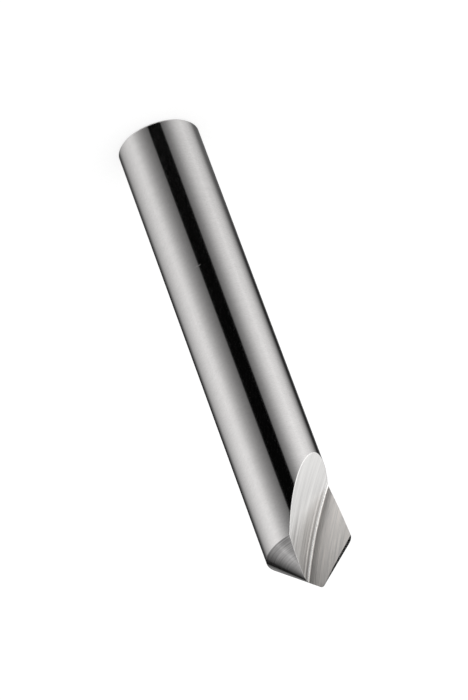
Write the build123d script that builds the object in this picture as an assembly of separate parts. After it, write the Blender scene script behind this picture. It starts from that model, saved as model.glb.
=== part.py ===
from build123d import *
from math import acos, cos, radians, sin, tan
import os

# Single-flute countersink, ground from one carbide rod.
# It stands on its flat rear face, with the point up: the origin is the middle of the rear face.
# The cutting edge lies in the XZ plane, on the -X side, and the flute is open towards -Y.

# Driving dimensions, in millimetres and degrees

# Rod
tool_diameter = 12.0
overall_length = 74.0
rear_edge_break = 0.1

# Point: the included angle is that of the hole that the cutting edge leaves.
# The very tip is worn to a small flat.
point_angle = 90.0
point_flat = 0.16
relief_tilt = 0.4
relief_bearing = 30.0

# Flute: cut by a large bevelled grinding wheel that swings in beside the point.
rake_angle = 16.5
wheel_diameter = 150.0
wheel_bevel = 5.25
root_setback = 1.95
root_bearing = 114.4
root_radius = 0.6
wall_clearance = 0.17

# The rake face is ground last, a little deeper than the floor of the flute.
rake_step = 0.5

# Derived sizes
tool_radius = tool_diameter / 2
wheel_radius = wheel_diameter / 2
wheel_width = 1.5 * tool_diameter
half_point = radians(point_angle / 2)
sharp_point = Vector(0, 0, overall_length + point_flat / 2 / tan(half_point))


def rod():
    """The round blank, with the sharp rim of its rear face broken."""
    blank = Cylinder(tool_radius, overall_length, align=(Align.CENTER, Align.CENTER, Align.MIN))
    rear_rim = blank.edges().sort_by(Axis.Z)[0]
    return chamfer(rear_rim, rear_edge_break)


def point_cone():
    """The cone that the flank is ground to.

    Its tip lies on the tool's axis, but its own axis leans towards the cutting edge and the
    flute. So the flank falls away steadily behind the edge, all the way round to the heel.
    """
    tilt = radians(relief_tilt)
    bearing = radians(relief_bearing)
    axis = Vector(sin(tilt) * cos(bearing), sin(tilt) * sin(bearing), cos(tilt))
    half_cone = acos(sin(half_point) * axis.X + cos(half_point) * axis.Z)
    reach = sharp_point.Z + tool_diameter
    cone = Cone(reach * tan(half_cone), 0, reach, align=(Align.CENTER, Align.CENTER, Align.MAX))
    return Plane(origin=sharp_point, z_dir=axis) * cone


def rake_plane():
    """The plane of the rake face: it holds the cutting edge, and leans back from it."""
    rake = radians(rake_angle)
    along_edge = Vector(-sin(half_point), 0, -cos(half_point))
    towards_heel = Vector(cos(half_point), 0, -sin(half_point))
    out_of_face = Vector(0, -cos(rake), 0) + towards_heel * sin(rake)
    return Plane(origin=sharp_point, x_dir=along_edge, z_dir=out_of_face)


def wheel_seat():
    """Where the middle of the wheel's side face stands, on the rake plane.

    The wheel's rim passes the point at the root setback, and that shortest line from the
    point to the root stands at the root bearing to the cutting edge.
    """
    bearing = radians(root_bearing)
    to_point = wheel_radius - root_setback
    return rake_plane() * Pos(-to_point * cos(bearing), -to_point * sin(bearing), 0)


def flute_wheel():
    """The wheel that roughs the flute: a flat side, a rounded corner and a bevelled rim."""
    flare = tan(radians(wheel_bevel))
    corner_radius = wheel_radius + wall_clearance + rake_step * flare
    corner = (corner_radius, rake_step)
    rim_top = (corner_radius + wheel_width * flare, rake_step + wheel_width)
    axis_top = (0, rake_step + wheel_width)
    outline = make_face(Polyline((0, rake_step), corner, rim_top, axis_top, close=True))
    root = outline.vertices().sort_by_distance(corner)[0]
    section = Plane.XZ * fillet(root, root_radius)
    return wheel_seat() * revolve(section, Axis.Z)


def rake_wheel():
    """The sharp-cornered wheel that finishes the rake face and leaves the step at its root."""
    disc = Cylinder(wheel_radius, wheel_width, align=(Align.CENTER, Align.CENTER, Align.MIN))
    return wheel_seat() * disc


countersink = (rod() & point_cone()) - flute_wheel() - rake_wheel()
countersink.label = "countersink"

os.makedirs("parts", exist_ok=True)
export_step(countersink, "parts/countersink.step")

print("volume", round(countersink.volume, 2), "mm3")
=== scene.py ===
from math import atan2, cos, degrees, pi, radians, sin, tan

import bmesh
import bpy
from mathutils import Matrix, Vector


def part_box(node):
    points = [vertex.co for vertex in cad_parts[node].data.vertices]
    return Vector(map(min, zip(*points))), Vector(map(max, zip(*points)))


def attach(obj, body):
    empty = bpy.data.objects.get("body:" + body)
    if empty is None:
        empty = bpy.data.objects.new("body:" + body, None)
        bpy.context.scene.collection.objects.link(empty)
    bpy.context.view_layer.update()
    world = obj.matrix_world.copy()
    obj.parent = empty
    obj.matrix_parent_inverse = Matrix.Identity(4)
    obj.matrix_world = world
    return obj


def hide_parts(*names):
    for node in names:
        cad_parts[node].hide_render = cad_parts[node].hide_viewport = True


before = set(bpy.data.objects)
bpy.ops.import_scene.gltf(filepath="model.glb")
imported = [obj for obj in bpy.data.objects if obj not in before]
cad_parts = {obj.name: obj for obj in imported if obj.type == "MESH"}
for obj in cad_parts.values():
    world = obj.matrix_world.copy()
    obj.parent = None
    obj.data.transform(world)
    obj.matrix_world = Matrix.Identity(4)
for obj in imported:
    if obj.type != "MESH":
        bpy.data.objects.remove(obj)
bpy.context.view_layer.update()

# The sizes of the countersink, in millimetres and radians, the same as those of its solid
MM = 0.001
low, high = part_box("countersink")
TOOL_RADIUS = (high.x - low.x) / 2 / MM
TOOL_LENGTH = high.z / MM
REAR_EDGE_BREAK = 0.1
HALF_POINT = radians(45.0)
POINT_FLAT = 0.16
RAKE_ANGLE = radians(16.5)
WHEEL_RADIUS = 75.0
WHEEL_BEVEL = radians(5.25)
WHEEL_WIDTH = 18.0
WALL_CLEARANCE = 0.17

# Where the sharp point lies in the wheel: how far inside its rim, and how far round its axis
# from the direction of the cutting edge
ROOT_SETBACK = 1.95
ROOT_BEARING = radians(114.4)

# The worn tip, from the middle outwards: (radius, height over the sharp point)
POINT_WORN = [(0.0, -0.19), (0.15, -0.21), (0.24, -0.25), (0.29, -0.29)]

# The flank drops behind the cutting edge: millimetres at the full radius for each radian round,
# and more for each radian past half a turn. The flute cuts it away where it comes back up.
RELIEF = 0.0573
RELIEF_GROWS = 0.086
RELIEF_ENDS = radians(288.0)

# The root of the flute, close up: the rake face turns up a little beside the step,
# the step leans back and its top edge is worn round, and a narrow ledge leads to the wall.
# Each turn is in degrees up from the rake face, at the start and the end of the form
STRIP_WIDTH = 0.73
STRIP_RISE = 0.085
STRIP_TURN = (6.0, 5.0)
STEP_RISE = 0.36
STEP_LEAN = 0.085
STEP_TURN = (84.0, 58.0)
LEDGE_RISE = 0.02
LEDGE_TURN = 14.0

# The rake face is a little hollow: degrees that it leans up at each distance from the middle of
# the wheel, and how much it turns for each millimetre along the arc, to either side of a middle
# that lies before the point
RAKE_TURN = [(70.5, 0.0), (72.5, 4.0), (73.8, 8.5), (74.27, 13.0)]
RAKE_CROWN = 0.0045
CROWN_MIDDLE = radians(-6.0)

# How the worn wheel leaves the flute wall: height over the rake face in millimetres,
# and degrees more or less than the bevel of the wheel
WALL_WEAR = [
    (0.40, -4.0), (1.10, -2.5), (1.22, 3.0), (1.27, 9.0), (1.37, 9.0), (1.42, 3.0), (1.56, -1.5),
    (2.15, 0.0), (2.50, -1.2), (3.0, -0.5), (3.7, 1.6), (4.4, 0.2), (5.0, 0.9), (5.7, -0.6),
    (6.2, 0.0), (7.0, 0.0), (9.0, 0.5), (18.0, 0.0),
]

# How light the wall is painted at each height: painted reflection, light and dark bands that stand in for
# the light that the worn wall mirrors
WALL_PAINTED_BANDS = [
    (0.45, 0.68), (1.06, 0.72), (1.22, 0.87), (1.36, 0.87), (1.54, 0.73), (1.80, 0.64),
    (2.15, 0.76), (2.50, 0.71), (3.0, 0.70), (3.7, 0.93), (4.4, 0.84), (5.0, 0.96), (5.7, 0.83),
    (6.2, 0.96), (8.0, 1.0),
]

# From the run-out of the flute to the point, by the arc that the wheel has run past the point in
# millimetres: how strong the wear and the painted bands of the wall are, and how light the rake face
# is painted. Both are painted darker towards the point, as painted shade
WEAR_GROWS = [(-16.0, 0.3), (-7.0, 1.0)]
PAINTED_BANDS_GROW = [(-16.0, 0.2), (-8.0, 0.8), (0.0, 1.3)]
RAKE_PAINTED_SHADE = [
    (-16.0, 1.0), (-11.0, 1.0), (-7.0, 0.88), (-2.0, 0.70), (-1.0, 0.68), (-0.3, 0.58), (1.0, 0.52),
]

# The rake face by its distance from the middle of the wheel, in painted shade: darker inwards and in a
# strip beside the step
RAKE_PAINTED_SHADE_ACROSS = [
    (69.0, 0.74), (70.8, 0.74), (71.2, 0.80), (71.5, 0.86), (71.8, 0.83), (73.0, 0.97), (74.1, 1.03),
    (74.4, 0.96), (75.0, 0.80),
]

# How strong the fine lines are: across the path on the flank, by the distance from the axis,
# and along the path on the wall, by the arc
FLANK_LINES = ("Z", [(0.0, 0.4), (3.4, 0.45), (4.5, 1.2), (6.5, 1.7)])
WALL_LINES = ("X", [(-16.0, 0.5), (-9.0, 0.9), (-5.0, 1.8), (2.0, 2.4)])

# The same in every finish: the share of the fine lines and of the broad bands in the tone, the part
# of the noise that the tone follows, how high the cloud stands and how much duller it makes a spot
LINES_SHARE = 0.75
BANDS_SHARE = 0.25
TONE_FROM = 0.35
TONE_TO = 0.65
CLOUD_RISE = 0.4
CLOUD_DULLS = 0.06

# The honed edge, in millimetres: where it ends and the bare face begins, how dark it is painted,
# and how far from the point it begins and is full. The dark is a painted reflection of the dark
# behind the tool, which the narrow honed edge mirrors
HONE_REACH = (0.13, 0.15)
HONE_PAINTED_DARK = 0.008
HONE_GROWS = (0.6, 3.1)

# A short scratch across the shank: (turn round from the front, height) at both ends of its deep
# part, and the turns over which it begins and by which it has faded
SCRATCH_START = (radians(8.6), 24.235)
SCRATCH_END = (radians(11.5), 24.30)
SCRATCH_BEGINS = 0.01
SCRATCH_FADES = radians(19.0)
SCRATCH_WIDTH = 0.065
SCRATCH_ROUGHNESS = 0.178

# How finely the round surfaces are divided
ROD_SIDES = 360
WHEEL_STEP = radians(0.2)
WALL_STEP = 0.12
WALL_FINE_STEP = 0.03
WALL_FINE_TO = 1.8

# How far the wheel is swept before and past the point, which is farther than it meets the rod
WHEEL_SWING = (radians(-26.0), radians(10.0))

# One surface for each pass of a wheel, and its finish
SURFACES = {
    "shank": "ground_shank",
    "rear_face": "faced_end",
    "rear_rim": "broken_rim_painted_dark",
    "point_flat": "ground_flank",
    "flank": "ground_flank",
    "rake_face": "ground_rake",
    "rake_strip": "ground_rake",
    "root_step": "burnished_step",
    "root_ledge": "ground_wall",
    "flute_wall": "ground_wall",
}
ORDER = list(SURFACES)

# Where the wheels stood
sharp_point = Vector((0, 0, TOOL_LENGTH + POINT_FLAT / 2 / tan(HALF_POINT)))
along_edge = Vector((-sin(HALF_POINT), 0, -cos(HALF_POINT)))
towards_heel = Vector((cos(HALF_POINT), 0, -sin(HALF_POINT)))
wheel_axis = Vector((0, -cos(RAKE_ANGLE), 0)) + towards_heel * sin(RAKE_ANGLE)
wheel_side = wheel_axis.cross(along_edge)
point_reach = WHEEL_RADIUS - ROOT_SETBACK
wheel_centre = (
    sharp_point
    - along_edge * point_reach * cos(ROOT_BEARING)
    - wheel_side * point_reach * sin(ROOT_BEARING)
)
to_point = sharp_point - wheel_centre
point_turn = atan2(to_point.dot(wheel_side), to_point.dot(along_edge))


def place_of(origin, x_axis, y_axis, z_axis):
    """The placing, in millimetres, of a thing with its own origin and axes."""
    turn = Matrix((x_axis, y_axis, z_axis)).transposed().to_4x4()
    return Matrix.Translation(origin) @ turn


WHEEL_PLACE = place_of(wheel_centre, along_edge, wheel_side, wheel_axis)
POINT_PLACE = Matrix.Translation(sharp_point)
TOOL_PLACE = Matrix.Identity(4)


def between(points, value):
    """Straight lines through (place, level) points."""
    for (left, a), (right, b) in zip(points, points[1:]):
        if value <= right:
            return a + (b - a) * max(0.0, (value - left) / (right - left))
    return points[-1][1]


# Nodes, for the shape and for the finishes


class Nodes:
    """Short words for making nodes in one tree."""

    def __init__(self, tree):
        self.tree = tree

    def add(self, kind, values=None, **settings):
        node = self.tree.nodes.new(kind)
        for setting, value in settings.items():
            setattr(node, setting, value)
        for socket, value in (values or {}).items():
            self.put(node.inputs[socket], value)
        return node

    def put(self, socket, value):
        if isinstance(value, bpy.types.NodeSocket):
            self.tree.links.new(value, socket)
        else:
            socket.default_value = value

    def math(self, operation, *values):
        node = self.add("ShaderNodeMath", operation=operation)
        for socket, value in zip(node.inputs, values):
            self.put(socket, value)
        return node.outputs[0]

    def ramp(self, value, stops):
        node = self.add("ShaderNodeValToRGB", {0: value})
        band = node.color_ramp.elements
        band.remove(band[1])
        for i, (place, level) in enumerate(stops):
            stop = band[0] if i == 0 else band.new(place)
            stop.position = place
            stop.color = (level, level, level, 1)
        return node.outputs[0]

    def mix(self, factor, first, second):
        node = self.add("ShaderNodeMix", {0: factor, 2: first, 3: second}, data_type="FLOAT")
        return node.outputs[0]

    def remap(self, value, start, end, first=0.0, last=1.0):
        node = self.add("ShaderNodeMapRange", {0: value, 1: start, 2: end, 3: first, 4: last})
        return node.outputs[0]

    def parts(self, vector):
        return self.add("ShaderNodeSeparateXYZ", {0: vector}).outputs


def new_group(name, inputs, outputs, kind="ShaderNodeTree"):
    """A node group with named sockets: (name, type, value)."""
    group = bpy.data.node_groups.new(name, kind)
    for label, socket_type, value in inputs:
        socket = group.interface.new_socket(label, in_out="INPUT", socket_type=socket_type)
        if value is not None:
            socket.default_value = value
    for label, socket_type in outputs:
        group.interface.new_socket(label, in_out="OUTPUT", socket_type=socket_type)
    nodes = Nodes(group)
    return group, nodes, nodes.add("NodeGroupInput"), nodes.add("NodeGroupOutput")


# The mesh


def lathe(name, outline, turns, place, whole=True):
    """A closed solid swept round its own z axis, the whole way or from the first turn to the last.

    outline goes once round the section: (radius, height, surface that leads to the next point).
    """
    mesh = bmesh.new()
    surface_of = mesh.faces.layers.int.new("surface")
    rings = []
    for radius, height, _ in outline:
        if radius == 0:
            rings.append([mesh.verts.new((0, 0, height))] * len(turns))
        else:
            rings.append([mesh.verts.new((radius * cos(a), radius * sin(a), height)) for a in turns])
    for ring, following, (_, _, surface) in zip(rings, rings[1:] + rings[:1], outline):
        if surface is None:
            continue
        for i in range(len(turns) if whole else len(turns) - 1):
            j = (i + 1) % len(turns)
            corners = list(dict.fromkeys([ring[i], ring[j], following[j], following[i]]))
            face = mesh.faces.new(corners)
            face[surface_of] = ORDER.index(surface)
    if not whole:
        for end in (0, -1):
            mesh.faces.new([ring[end] for ring in rings])
    for face in mesh.faces:
        face.smooth = True
    bmesh.ops.recalc_face_normals(mesh, faces=mesh.faces)
    data = bpy.data.meshes.new(name)
    mesh.to_mesh(data)
    mesh.free()
    data.transform(Matrix.Scale(MM, 4) @ place)
    solid = bpy.data.objects.new(name, data)
    bpy.context.scene.collection.objects.link(solid)
    return solid


def full_turn(shift=0.0):
    return [2 * pi * (i + shift) / ROD_SIDES for i in range(ROD_SIDES)]


def rod():
    outline = [
        (0, 0, "rear_face"),
        (TOOL_RADIUS - REAR_EDGE_BREAK, 0, "rear_rim"),
        (TOOL_RADIUS, REAR_EDGE_BREAK, "shank"),
        (TOOL_RADIUS, TOOL_LENGTH, "point_flat"),
        (0, TOOL_LENGTH, None),
    ]
    return lathe("rod", outline, full_turn(), TOOL_PLACE)


def relief(turn):
    """The share by which the cone is longer than at the cutting edge, at a turn round from x."""
    behind = (pi - turn) % (2 * pi)
    kept = min(behind, RELIEF_ENDS)
    drop = RELIEF * kept + RELIEF_GROWS * max(0.0, kept - pi) ** 2
    return drop / TOOL_RADIUS * min(1.0, (2 * pi - behind) / (2 * pi - RELIEF_ENDS))


def point_cone():
    reach = TOOL_LENGTH + 4 * TOOL_RADIUS
    outline = [(0, -reach, "flank"), (reach * tan(HALF_POINT), -reach, "flank")]
    outline += [(radius, height, "point_flat") for radius, height in POINT_WORN[:0:-1]]
    outline.append((*POINT_WORN[0], None))
    return lathe("point_cone", outline, full_turn(0.5), POINT_PLACE)


def wheel():
    """The part of the stepped wheel that is in the rod, from its core to its worn rim."""
    core = WHEEL_RADIUS - 3 * TOOL_RADIUS
    wall_foot = WHEEL_RADIUS + WALL_CLEARANCE + STEP_RISE * tan(WHEEL_BEVEL)
    outline = [(core, 0, "rake_face")]
    outline += [(radius, 0, "rake_face") for radius, _ in RAKE_TURN[:-1]]
    outline += [
        (WHEEL_RADIUS - STRIP_WIDTH, 0, "rake_strip"),
        (WHEEL_RADIUS, STRIP_RISE, "root_step"),
        (WHEEL_RADIUS + STEP_LEAN, STEP_RISE, "root_ledge"),
    ]
    radius = wall_foot
    height = STEP_RISE + LEDGE_RISE
    while height < WHEEL_WIDTH / 2:
        outline.append((radius, height, "flute_wall"))
        step = WALL_FINE_STEP if height < WALL_FINE_TO else WALL_STEP
        lean = WHEEL_BEVEL + radians(between(WALL_WEAR, height + step / 2))
        radius += step * tan(lean)
        height += step
    outline.append((radius + (WHEEL_WIDTH - height) * tan(WHEEL_BEVEL), WHEEL_WIDTH, "flute_wall"))
    outline.append((core, WHEEL_WIDTH, "rake_face"))
    before, past = WHEEL_SWING
    steps = round((past - before) / WHEEL_STEP)
    turns = [point_turn + before + WHEEL_STEP * i for i in range(steps + 1)]
    return lathe("wheel", outline, turns, WHEEL_PLACE, whole=False)


def relieved(nodes, sizes, cone):
    """The same rule as relief, in nodes: the cone falls away behind the cutting edge."""
    spot = nodes.add("GeometryNodeInputPosition").outputs[0]
    parts = nodes.parts(spot)
    turn = nodes.math("ARCTAN2", parts["Y"], parts["X"])
    behind = nodes.math("FLOORED_MODULO", nodes.math("SUBTRACT", pi, turn), 2 * pi)
    kept = nodes.math("MINIMUM", behind, sizes["Relief Ends"])
    past = nodes.math("MAXIMUM", nodes.math("SUBTRACT", kept, pi), 0.0)
    growth = nodes.math("MULTIPLY", nodes.math("MULTIPLY", past, past), sizes["Relief Grows"])
    drop = nodes.math("MULTIPLY_ADD", kept, sizes["Relief"], growth)
    rest = nodes.math("SUBTRACT", 2 * pi, behind)
    closing = nodes.math("DIVIDE", rest, nodes.math("SUBTRACT", 2 * pi, sizes["Relief Ends"]))
    drop = nodes.math("MULTIPLY", drop, nodes.math("MINIMUM", closing, 1.0))
    longer = nodes.math("ADD", nodes.math("DIVIDE", drop, sizes["Tool Radius"]), 1.0)
    narrower = nodes.math("DIVIDE", 1.0, longer)
    share = nodes.add("ShaderNodeCombineXYZ", {"X": narrower, "Y": narrower, "Z": 1.0}).outputs[0]
    moved = nodes.add("ShaderNodeVectorMath", {0: spot, 1: share}, operation="MULTIPLY").outputs[0]
    return nodes.add("GeometryNodeSetPosition", {"Geometry": cone, "Position": moved}).outputs[0]


def grinding_tree(finishes):
    """Grinds a rod as the factory does: the cone of the point with its relief, and then the flute.

    Each face takes the finish of the surface that it was ground for.
    """
    tree, nodes, given, result = new_group(
        "grinding",
        [
            ("Rod", "NodeSocketGeometry", None),
            ("Point Cone", "NodeSocketObject", None),
            ("Wheel", "NodeSocketObject", None),
            ("Tool Radius", "NodeSocketFloat", TOOL_RADIUS),
            ("Relief", "NodeSocketFloat", RELIEF),
            ("Relief Grows", "NodeSocketFloat", RELIEF_GROWS),
            ("Relief Ends", "NodeSocketFloat", RELIEF_ENDS),
        ],
        [("Ground Tool", "NodeSocketGeometry")],
        kind="GeometryNodeTree",
    )
    sizes = given.outputs
    cone = nodes.add("GeometryNodeObjectInfo", {"Object": sizes["Point Cone"]}).outputs["Geometry"]
    pointed = nodes.add("GeometryNodeMeshBoolean", operation="INTERSECT", solver="EXACT")
    nodes.put(pointed.inputs["Mesh 2"], relieved(nodes, sizes, cone))
    nodes.put(pointed.inputs["Mesh 2"], sizes["Rod"])
    wheel_mesh = nodes.add("GeometryNodeObjectInfo", {"Object": sizes["Wheel"]}).outputs["Geometry"]
    fluted = nodes.add("GeometryNodeMeshBoolean", operation="DIFFERENCE", solver="EXACT")
    nodes.put(fluted.inputs["Mesh 1"], pointed.outputs["Mesh"])
    nodes.put(fluted.inputs["Mesh 2"], wheel_mesh)
    ground = nodes.add("GeometryNodeRealizeInstances", {"Geometry": fluted.outputs["Mesh"]}).outputs[0]
    surface = nodes.add("GeometryNodeInputNamedAttribute", {"Name": "surface"}).outputs["Attribute"]
    for number, name in enumerate(ORDER):
        here = nodes.math("COMPARE", surface, number, 0.5)
        values = {"Geometry": ground, "Selection": here, "Material": finishes[SURFACES[name]]}
        ground = nodes.add("GeometryNodeSetMaterial", values).outputs[0]
    nodes.put(result.inputs[0], ground)
    return tree


def ground_tool(finishes):
    """The rod, ground to its cone and cut by the wheel, as one plain mesh."""
    tool = rod()
    cutters = {"Point Cone": point_cone(), "Wheel": wheel()}
    grind = tool.modifiers.new("grind", "NODES")
    grind.node_group = grinding_tree(finishes)
    for label, cutter in cutters.items():
        grind[grind.node_group.interface.items_tree[label].identifier] = cutter
    bpy.context.view_layer.update()
    graph = bpy.context.evaluated_depsgraph_get()
    data = bpy.data.meshes.new_from_object(tool.evaluated_get(graph))
    for solid in [tool, *cutters.values()]:
        bpy.data.objects.remove(solid)
    # The first slot is the empty one, of faces that had no finish yet
    data.materials.pop(index=0)
    data.name = "ground_countersink"
    piece = bpy.data.objects.new("ground_countersink", data)
    bpy.context.scene.collection.objects.link(piece)
    return piece


def wheel_tilt(surface, radius, height, arc):
    """Degrees by which a surface that the wheel cut leans up from the rake face."""
    if surface == "rake_strip":
        turns = [(WHEEL_RADIUS - STRIP_WIDTH, STRIP_TURN[0]), (WHEEL_RADIUS, STRIP_TURN[1])]
        return between(turns, radius)
    if surface == "root_step":
        return between([(STRIP_RISE, STEP_TURN[0]), (STEP_RISE, STEP_TURN[1])], height)
    if surface == "root_ledge":
        return LEDGE_TURN
    if surface == "flute_wall":
        return 90 - degrees(WHEEL_BEVEL) - between(WALL_WEAR, height) * between(WEAR_GROWS, arc)
    return between(RAKE_TURN, radius)


def surface_normal(surface, spot):
    """The true normal of a ground surface at a spot on it, in millimetres."""
    if surface == "shank":
        return Vector((spot.x, spot.y, 0)).normalized()
    if surface == "rear_rim":
        return (Vector((spot.x, spot.y, 0)).normalized() - Vector((0, 0, 1))).normalized()
    if surface == "rear_face":
        return Vector((0, 0, -1))
    if surface == "point_flat":
        return Vector((spot.x, spot.y, POINT_WORN[-1][0])).normalized()
    if surface == "flank":
        turn = atan2(spot.y, spot.x)
        nudge = 0.01
        slope = (relief(turn + nudge) - relief(turn - nudge)) / (2 * nudge)
        out = Vector((cos(turn), sin(turn), 0)) * (1 + relief(turn))
        round_it = Vector((-sin(turn), cos(turn), 0)) * slope
        return (out + round_it + Vector((0, 0, tan(HALF_POINT)))).normalized()
    arm = spot - wheel_centre
    height = arm.dot(wheel_axis)
    outward = arm - wheel_axis * height
    turn = atan2(outward.dot(wheel_side), outward.dot(along_edge))
    tilt = radians(wheel_tilt(surface, outward.length, height, (turn - point_turn) * WHEEL_RADIUS))
    outward.normalize()
    normal = wheel_axis * cos(tilt) - outward * sin(tilt)
    if surface in ("rake_face", "rake_strip"):
        middle = point_turn + CROWN_MIDDLE
        onward = wheel_axis.cross(outward)
        normal = normal + onward * (turn - middle) * WHEEL_RADIUS * RAKE_CROWN
    return normal.normalized()


def true_normals(piece):
    """Every corner takes the normal of the ground surface that its face lies on."""
    data = piece.data
    surfaces = [mark.value for mark in data.attributes["surface"].data]
    data.attributes.remove(data.attributes["surface"])
    normals = [None] * len(data.loops)
    for face in data.polygons:
        surface = ORDER[surfaces[face.index]]
        for loop in face.loop_indices:
            spot = data.vertices[data.loops[loop].vertex_index].co / MM
            normals[loop] = surface_normal(surface, spot)
    data.normals_split_custom_set(normals)


# The finishes


def wheel_path_group():
    """Where a spot lies on the path of the wheel: along its arc, out from its axis, and up."""
    group, nodes, given, result = new_group(
        "wheel_path",
        [("Position", "NodeSocketVector", None), ("Wheel Radius", "NodeSocketFloat", WHEEL_RADIUS)],
        [("Up The Wall", "NodeSocketVector"), ("Across The Face", "NodeSocketVector")],
    )
    parts = nodes.parts(given.outputs["Position"])
    turn = nodes.math("ARCTAN2", parts["Y"], parts["X"])
    arc = nodes.math("MULTIPLY", turn, given.outputs["Wheel Radius"])
    y_squared = nodes.math("POWER", parts["Y"], 2)
    reach = nodes.math("SQRT", nodes.math("MULTIPLY_ADD", parts["X"], parts["X"], y_squared))
    up = nodes.add("ShaderNodeCombineXYZ", {"X": arc, "Z": parts["Z"]})
    across = nodes.add("ShaderNodeCombineXYZ", {"X": arc, "Z": reach})
    nodes.put(result.inputs["Up The Wall"], up.outputs[0])
    nodes.put(result.inputs["Across The Face"], across.outputs[0])
    return group


def grinding_lines_group():
    """Fine lines, broad bands and a soft cloud. The lines run along x and y, and z crosses them."""
    group, nodes, given, result = new_group(
        "grinding_lines",
        [
            ("Path", "NodeSocketVector", None),
            ("Spacing", "NodeSocketFloat", 0.1),
            ("Length", "NodeSocketFloat", 5.0),
            ("Cloud Size", "NodeSocketFloat", 0.6),
        ],
        [("Lines", "NodeSocketFloat"), ("Bands", "NodeSocketFloat"), ("Cloud", "NodeSocketFloat")],
    )
    along = nodes.math("DIVIDE", 1.0, given.outputs["Length"])
    across = nodes.math("DIVIDE", 1.0, given.outputs["Spacing"])
    stretch = nodes.add("ShaderNodeCombineXYZ", {"X": along, "Y": along, "Z": across})
    factors = {0: given.outputs["Path"], 1: stretch.outputs[0]}
    path = nodes.add("ShaderNodeVectorMath", factors, operation="MULTIPLY").outputs[0]
    lines = nodes.add("ShaderNodeTexNoise", {"Vector": path, "Scale": 1.0, "Detail": 3.0, "Roughness": 0.6})
    bands = nodes.add("ShaderNodeTexNoise", {"Vector": path, "Scale": 0.17, "Detail": 2.0})
    fine = nodes.math("DIVIDE", 1.0, given.outputs["Cloud Size"])
    cloud = nodes.add("ShaderNodeTexNoise", {"Vector": given.outputs["Path"], "Scale": fine, "Detail": 2.0})
    nodes.put(result.inputs["Lines"], lines.outputs[0])
    nodes.put(result.inputs["Bands"], bands.outputs[0])
    nodes.put(result.inputs["Cloud"], cloud.outputs[0])
    return group


wheel_path = wheel_path_group()
grinding_lines = grinding_lines_group()


def across_mm(nodes, value, points):
    """A level that follows (millimetres, level) points, where a ramp takes 0 to 1."""
    start, end = points[0][0], points[-1][0]
    top = max(level for _, level in points)
    stops = [((place - start) / (end - start), level / top) for place, level in points]
    return nodes.math("MULTIPLY", nodes.ramp(nodes.remap(value, start, end), stops), top)


def past_point(nodes, arc):
    """How far along the arc of the wheel a spot lies past the point."""
    return nodes.math("SUBTRACT", arc, point_turn * WHEEL_RADIUS)


def ground_metal(
    name, place, colour, roughness, spacing, length, line_depth, shade, edge=0.07, cloud=0.6, warmth=0.0,
    path=None, path_radius=WHEEL_RADIUS, painted_light=None, fading=None, scratching=None,
):
    """Ground carbide, with the lines of the wheel. They run along x and y of its place, or along a
    path round its z axis, whose arcs are measured at path_radius.

    spacing, length, cloud and edge are millimetres, and line_depth is micrometres. shade is how much
    the lines show, and warmth how much redder the light ones are. toning gives painted light and shade,
    the level of the tone from place to place. fading gives the strength of the lines, and scratching
    where the metal is scratched.
    """
    material = bpy.data.materials.new(name)
    material.use_nodes = True
    nodes = Nodes(material.node_tree)
    shader = material.node_tree.nodes["Principled BSDF"]
    spot = nodes.add("ShaderNodeTexCoord").outputs["Object"]
    own = nodes.add("ShaderNodeMapping", {0: spot}, vector_type="TEXTURE")
    own.inputs["Location"].default_value = place.to_translation() * MM
    own.inputs["Rotation"].default_value = place.to_euler()
    own.inputs["Scale"].default_value = (MM, MM, MM)
    own = route = own.outputs[0]
    if path:
        turned = nodes.add("ShaderNodeGroup", node_tree=wheel_path)
        nodes.put(turned.inputs["Position"], own)
        nodes.put(turned.inputs["Wheel Radius"], path_radius)
        route = turned.outputs[path]
    marks = nodes.add("ShaderNodeGroup", node_tree=grinding_lines)
    for label, value in (("Path", route), ("Spacing", spacing), ("Length", length), ("Cloud Size", cloud)):
        nodes.put(marks.inputs[label], value)
    lines, bands, haze = marks.outputs
    height = nodes.math("ADD", bands, nodes.math("MULTIPLY_ADD", haze, CLOUD_RISE, lines))
    worn = nodes.math("MULTIPLY_ADD", lines, LINES_SHARE, nodes.math("MULTIPLY", bands, BANDS_SHARE))
    if fading:
        axis, levels = fading
        way = nodes.parts(route)[axis]
        if axis == "X":
            way = past_point(nodes, way)
        strength = across_mm(nodes, way, levels)
        height = nodes.math("MULTIPLY", height, strength)
        worn = nodes.math("MULTIPLY_ADD", nodes.math("SUBTRACT", worn, 0.5), strength, 0.5)
    softened = nodes.add("ShaderNodeBevel", {"Radius": edge * MM}, samples=8)
    bumped = nodes.add("ShaderNodeBump", {
        "Strength": 1.0,
        "Distance": line_depth * MM * MM,
        "Height": height,
        "Normal": softened.outputs[0],
    })
    nodes.put(shader.inputs["Normal"], bumped.outputs[0])
    tone = nodes.add("ShaderNodeMix", data_type="RGBA")
    nodes.put(tone.inputs[0], nodes.ramp(worn, [(TONE_FROM, 0.0), (TONE_TO, 1.0)]))
    tints = (warmth, 0.0, -warmth)
    lighter = min(1 + shade, 1 / max(colour)) - warmth
    tone.inputs[6].default_value = tuple(c * (1 - shade - tint) for c, tint in zip(colour, tints)) + (1,)
    tone.inputs[7].default_value = tuple(c * (lighter + tint) for c, tint in zip(colour, tints)) + (1,)
    shown = tone.outputs[2]
    if painted_light:
        parts = nodes.parts(route)
        level = painted_light(nodes, past_point(nodes, parts["X"]), parts["Z"], own)
        factors = {0: 1.0, 6: shown, 7: level}
        shown = nodes.add("ShaderNodeMix", factors, data_type="RGBA", blend_type="MULTIPLY").outputs[2]
    nodes.put(shader.inputs["Base Color"], shown)
    shader.inputs["Metallic"].default_value = 1
    dull = nodes.math("MULTIPLY_ADD", haze, CLOUD_DULLS, roughness - CLOUD_DULLS / 2)
    if scratching:
        dull = nodes.math("MULTIPLY_ADD", scratching(nodes, own), SCRATCH_ROUGHNESS, dull)
    nodes.put(shader.inputs["Roughness"], dull)
    return material


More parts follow.
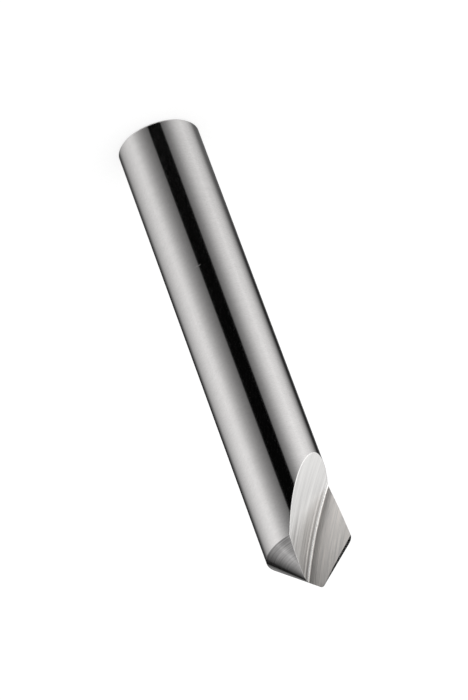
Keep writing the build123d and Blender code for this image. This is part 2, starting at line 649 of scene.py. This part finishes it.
def scratch(nodes, spot):
    """One short scratch that runs a little way round the shank and fades."""
    parts = nodes.parts(spot)
    turn = nodes.math("ARCTAN2", parts["X"], nodes.math("MULTIPLY", parts["Y"], -1.0))
    start, height = SCRATCH_START
    end, end_height = SCRATCH_END
    line = nodes.remap(turn, start, end, height, end_height)
    away = nodes.math("ABSOLUTE", nodes.math("SUBTRACT", parts["Z"], line))
    across = nodes.remap(away, SCRATCH_WIDTH / 2, SCRATCH_WIDTH, 1.0, 0.0)
    from_start = nodes.remap(turn, start - SCRATCH_BEGINS, start)
    to_end = nodes.remap(turn, end, SCRATCH_FADES, 1.0, 0.0)
    return nodes.math("MULTIPLY", across, nodes.math("MULTIPLY", from_start, to_end))


def wall_painted_light(nodes, arc, height, _):
    """Painted light on the wall of the flute: light and dark bands by height, a painted reflection of the
    worn wall, which deepen towards the point as painted shade.
    """
    marks = across_mm(nodes, height, WALL_PAINTED_BANDS)
    strength = across_mm(nodes, arc, PAINTED_BANDS_GROW)
    return nodes.math("MULTIPLY_ADD", nodes.math("SUBTRACT", marks, 1.0), strength, 1.0)


def rake_painted_light(nodes, arc, reach, spot):
    """Painted shade on the rake face, darker towards the point and beside the step, with a painted dark
    reflection along its honed edge.
    """
    along = across_mm(nodes, arc, RAKE_PAINTED_SHADE)
    across = across_mm(nodes, reach, RAKE_PAINTED_SHADE_ACROSS)
    parts = nodes.parts(spot)
    from_edge = nodes.math("SUBTRACT", parts["Y"], to_point.dot(wheel_side))
    from_point = nodes.math("SUBTRACT", parts["X"], to_point.dot(along_edge))
    bare = nodes.remap(from_edge, *HONE_REACH)
    painted_edge_dark = nodes.remap(from_point, *HONE_GROWS, 1.0, HONE_PAINTED_DARK)
    return nodes.math("MULTIPLY", nodes.math("MULTIPLY", along, across), nodes.mix(bare, painted_edge_dark, 1.0))


FINISHES = {
    "ground_shank": dict(
        place=TOOL_PLACE, colour=(0.815, 0.800, 0.794), roughness=0.10, spacing=0.14, length=0.5,
        line_depth=0.16, shade=0.05, edge=0.16, cloud=0.4, scratching=scratch,
    ),
    "faced_end": dict(
        place=TOOL_PLACE, colour=(0.60, 0.59, 0.58), roughness=0.30, spacing=0.2, length=5.0,
        line_depth=0.3, shade=0.10,
    ),
    # The broken rim's dark colour is painted shade, the floor's contact shadow that the rim mirrors
    "broken_rim_painted_dark": dict(
        place=TOOL_PLACE, colour=(0.30, 0.29, 0.285), roughness=0.35, spacing=0.1, length=3.0,
        line_depth=0.3, shade=0.10, edge=0.02,
    ),
    "ground_flank": dict(
        place=POINT_PLACE, colour=(0.803, 0.787, 0.783), roughness=0.08, spacing=0.10, length=6.0,
        line_depth=0.8, shade=0.24, edge=0.04, path="Across The Face", path_radius=4.0, fading=FLANK_LINES,
    ),
    "ground_wall": dict(
        place=WHEEL_PLACE, colour=(0.840, 0.831, 0.820), roughness=0.36, spacing=0.17, length=10.0,
        line_depth=3.6, shade=0.17, edge=0.18, path="Up The Wall", painted_light=wall_painted_light, fading=WALL_LINES,
    ),
    "ground_rake": dict(
        place=WHEEL_PLACE, colour=(0.95, 0.918, 0.887), roughness=0.34, spacing=0.18, length=7.0,
        line_depth=5.0, shade=0.28, edge=0.03, warmth=0.012, path="Across The Face", painted_light=rake_painted_light,
    ),
    "burnished_step": dict(
        place=WHEEL_PLACE, colour=(0.86, 0.85, 0.835), roughness=0.18, spacing=0.10, length=3.0,
        line_depth=0.5, shade=0.14, edge=0.03, path="Up The Wall",
    ),
}
finishes = {name: ground_metal(name, **values) for name, values in FINISHES.items()}
countersink = ground_tool(finishes)
true_normals(countersink)
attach(countersink, "root")
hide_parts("countersink")

# Where the camera stands round the tool, in radians and millimetres
VIEW_AZIMUTH = radians(4.78)
VIEW_ELEVATION = radians(28.29)
VIEW_ROLL = radians(159.69)
VIEW_DISTANCE = 552.96
VIEW_AIM = Vector((0.12, 0.01, 35.46))
LENS = 205.37


def camera():
    data = bpy.data.cameras.new("camera")
    data.lens = LENS
    data.sensor_width = 36.0
    data.clip_start = 0.01
    data.clip_end = 50
    back = Vector((
        sin(VIEW_AZIMUTH) * cos(VIEW_ELEVATION),
        -cos(VIEW_AZIMUTH) * cos(VIEW_ELEVATION),
        sin(VIEW_ELEVATION),
    ))
    level = (-back).to_track_quat("-Z", "Y")
    view = bpy.data.objects.new("camera", data)
    view.rotation_mode = "QUATERNION"
    view.rotation_quaternion = level @ Matrix.Rotation(VIEW_ROLL, 3, "Z").to_quaternion()
    view.location = (VIEW_AIM + back * VIEW_DISTANCE) * MM
    bpy.context.scene.collection.objects.link(view)
    bpy.context.scene.camera = view


camera()

# The studio: a tent of white cloth stands round the tool, with a dark gap where the camera looks in
# and a dark cloth behind. It is seen in the metal. Each ring is the light at one height,
# in degrees over the horizon: (degrees round, level), where 0 is the camera's side.
GAP_BEHIND = [
    (-180, 0.01), (-173, 0.01), (-165, 0.15), (-152, 0.06), (-143, 0.005), (-134, 0.045), (-127, 0.19),
]
DUSK_BEHIND = [(-180, 0.10), (-165, 0.15), (-150, 0.14), (-134, 0.13), (-125, 0.17)]
RIGHT_SHEET = [(-117, 0.42), (-99, 0.74), (-76, 0.91), (-57, 0.73), (-33, 0.30), (-19.0, 0.145)]
CAMERA_GAP = [(-18.6, 0.001), (17.5, 0.001)]
LEFT_SHEET = [
    (17.9, 0.137), (33, 0.25), (45, 0.385), (57, 0.575), (69, 0.79), (81, 0.88), (99, 0.78), (117, 0.61),
    (135, 0.42), (150, 0.11),
]
DARK_CORNER = [(158, 0.03), (180, 0.02)]
DUSKY_CORNER = [(158, 0.05), (170, 0.12), (180, 0.10)]


def dimmed(sheet, strength):
    return [(turn, level * strength) for turn, level in sheet]


TENT = [
    (-75, [(-180, 0.6), (180, 0.6)]),
    (-44, [
        (-180, 0.35), (-120, 0.55), (-60, 1.0), (0, 1.45), (60, 1.45), (110, 0.7), (150, 0.4), (180, 0.35),
    ]),
    (-36, DUSK_BEHIND + dimmed(RIGHT_SHEET, 0.74) + CAMERA_GAP + dimmed(LEFT_SHEET, 0.83) + DUSKY_CORNER),
    (-31.2, DUSK_BEHIND + dimmed(RIGHT_SHEET, 0.83) + CAMERA_GAP + dimmed(LEFT_SHEET, 0.89) + DUSKY_CORNER),
    (-29.4, GAP_BEHIND + dimmed(RIGHT_SHEET, 0.92) + CAMERA_GAP + dimmed(LEFT_SHEET, 0.94) + DARK_CORNER),
    (-27, GAP_BEHIND + RIGHT_SHEET + CAMERA_GAP + LEFT_SHEET + DARK_CORNER),
    (-12, [
        (-180, 0.01), (-137, 0.01), (-132, 0.15), (-127, 0.65), (-122, 0.95), (-112, 1.2), (-100, 1.6),
        (-65, 1.6), (-50, 1.0), (-33, 0.6), (-19.0, 0.25), (-18.6, 0.001), (17.5, 0.001), (17.9, 0.25),
        (45, 0.45), (69, 0.9), (99, 0.9), (117, 0.5), (135, 0.10), (147, 0.01), (156, 0.005),
        (158.5, 0.21), (171, 0.25), (177, 0.25), (180, 0.01),
    ]),
    (10, [
        (-180, 0.02), (-150, 0.01), (-136, 0.2), (-125, 0.95), (-110, 1.3), (-95, 1.6), (-65, 1.6),
        (-50, 1.0), (-18, 0.5), (18, 0.4), (69, 0.6), (99, 0.6), (130, 0.15), (145, 0.02), (158, 0.005),
        (180, 0.1),
    ]),
    (40, [
        (-180, 0.5), (-120, 0.8), (-50, 0.6), (20, 0.3), (58, 0.03), (74, 0.17), (92, 0.46),
        (100, 0.38), (108, 0.33), (122, 0.18), (135, 0.10), (155, 0.2), (180, 0.5),
    ]),
    (75, [(-180, 0.6), (180, 0.6)]),
]

# The white paper that the tool stands on: its size in metres, its own tone in the light of the
# tent, and the glow that only the camera sees, which makes it white
PAPER_RADIUS = 3.0
PAPER_TONE = 0.45
PAPER_GLOW = 0.62


def floor():
    mesh = bmesh.new()
    bmesh.ops.create_circle(mesh, cap_ends=True, segments=96, radius=PAPER_RADIUS)
    data = bpy.data.meshes.new("floor")
    mesh.to_mesh(data)
    mesh.free()
    sheet = bpy.data.objects.new("floor", data)
    bpy.context.scene.collection.objects.link(sheet)
    paper = bpy.data.materials.new("white_paper")
    paper.use_nodes = True
    nodes = Nodes(paper.node_tree)
    shader = paper.node_tree.nodes["Principled BSDF"]
    shader.inputs["Base Color"].default_value = (PAPER_TONE, PAPER_TONE, PAPER_TONE, 1)
    shader.inputs["Roughness"].default_value = 1
    shader.inputs["Specular IOR Level"].default_value = 0
    shader.inputs["Emission Color"].default_value = (1, 1, 1, 1)
    seen = nodes.add("ShaderNodeLightPath").outputs["Is Camera Ray"]
    nodes.put(shader.inputs["Emission Strength"], nodes.math("MULTIPLY", seen, PAPER_GLOW))
    data.materials.append(paper)
    sheet.visible_glossy = False


def studio():
    world = bpy.data.worlds.new("studio")
    bpy.context.scene.world = world
    world.use_nodes = True
    nodes = Nodes(world.node_tree)
    background = world.node_tree.nodes["Background"]
    background.inputs["Color"].default_value = (1, 1, 1, 1)
    parts = nodes.parts(nodes.add("ShaderNodeTexCoord").outputs["Generated"])
    turn = nodes.math("ARCTAN2", parts["X"], nodes.math("MULTIPLY", parts["Y"], -1.0))
    turn = nodes.math("MULTIPLY_ADD", turn, 0.5 / pi, 0.5)
    rise = nodes.math("MULTIPLY_ADD", nodes.math("ARCSINE", parts["Z"]), 1 / pi, 0.5)
    rings = [nodes.ramp(turn, [((place + 180) / 360, level) for place, level in ring]) for _, ring in TENT]
    heights = [(height + 90) / 180 for height, _ in TENT]
    light = rings[0]
    for under, over, ring in zip(heights, heights[1:], rings[1:]):
        light = nodes.mix(nodes.ramp(rise, [(under, 0.0), (over, 1.0)]), light, ring)
    path = nodes.add("ShaderNodeLightPath")
    shown = nodes.math("MAXIMUM", path.outputs["Is Glossy Ray"], path.outputs["Is Transmission Ray"])
    nodes.put(background.inputs["Strength"], nodes.mix(shown, 1.0, light))


floor()
studio()
bpy.context.scene.view_settings.view_transform = "Standard"
